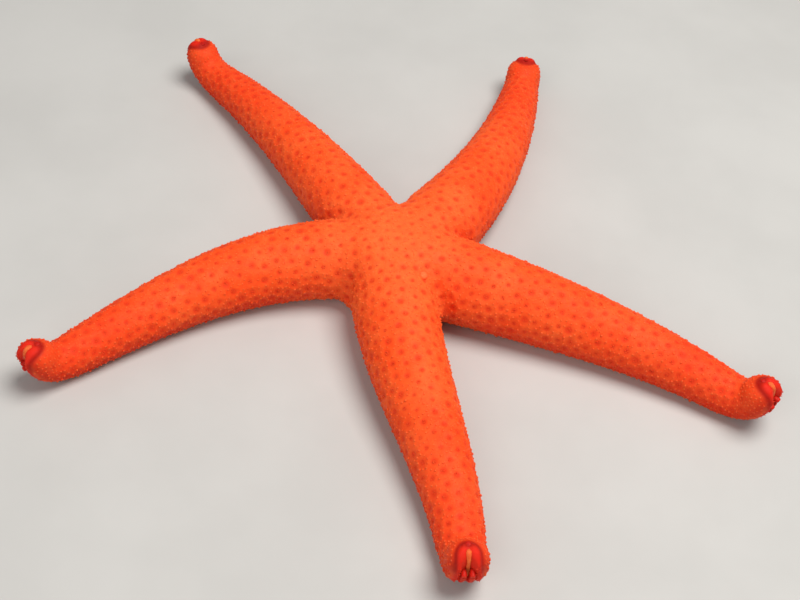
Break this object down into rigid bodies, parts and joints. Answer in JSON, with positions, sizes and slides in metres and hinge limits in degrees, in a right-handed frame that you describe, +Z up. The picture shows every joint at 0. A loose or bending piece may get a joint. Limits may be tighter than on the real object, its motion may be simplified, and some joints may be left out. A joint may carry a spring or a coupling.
{
  "type": "starfish",
  "caption": "Red sea star lying flat with long round arms, upturned blunt tips, pitted skin and grooves of tube feet below.",
  "frame": {"origin": "on the floor, under the middle of the whole animal's box", "axes": "+Z up from the floor; arm D reaches along +X and a little towards -Y, arm C along -Y, arms A and E towards +Y, arm B towards -X"},
  "size_m": [0.1892, 0.19, 0.0234],
  "materials": {
    "skin": "wet leathery skin, orange red, with darker pits between low ridges",
    "mouth_membrane": "soft wet membrane",
    "sieve_plate": "pale chalky plate with fine meandering furrows",
    "papulae": "soft translucent dark red",
    "spinelets": "short blunt skin-covered spines, a paler orange",
    "tube_feet": "soft translucent dark red with paler sucker discs"
  },
  "bodies": {
    "root": {"disc": "skin", "arm_a_inner": "skin", "arm_a_outer": "skin", "arm_a_tip": "skin", "arm_b_inner": "skin", "arm_b_outer": "skin", "arm_b_tip": "skin", "arm_c_inner": "skin", "arm_c_outer": "skin", "arm_c_tip": "skin", "arm_d_inner": "skin", "arm_d_outer": "skin", "arm_d_tip": "skin", "arm_e_inner": "skin", "arm_e_outer": "skin", "arm_e_tip": "skin", "mouth_membrane": "mouth_membrane", "sieve_plate": "sieve_plate"}
  },
  "joints": []
}
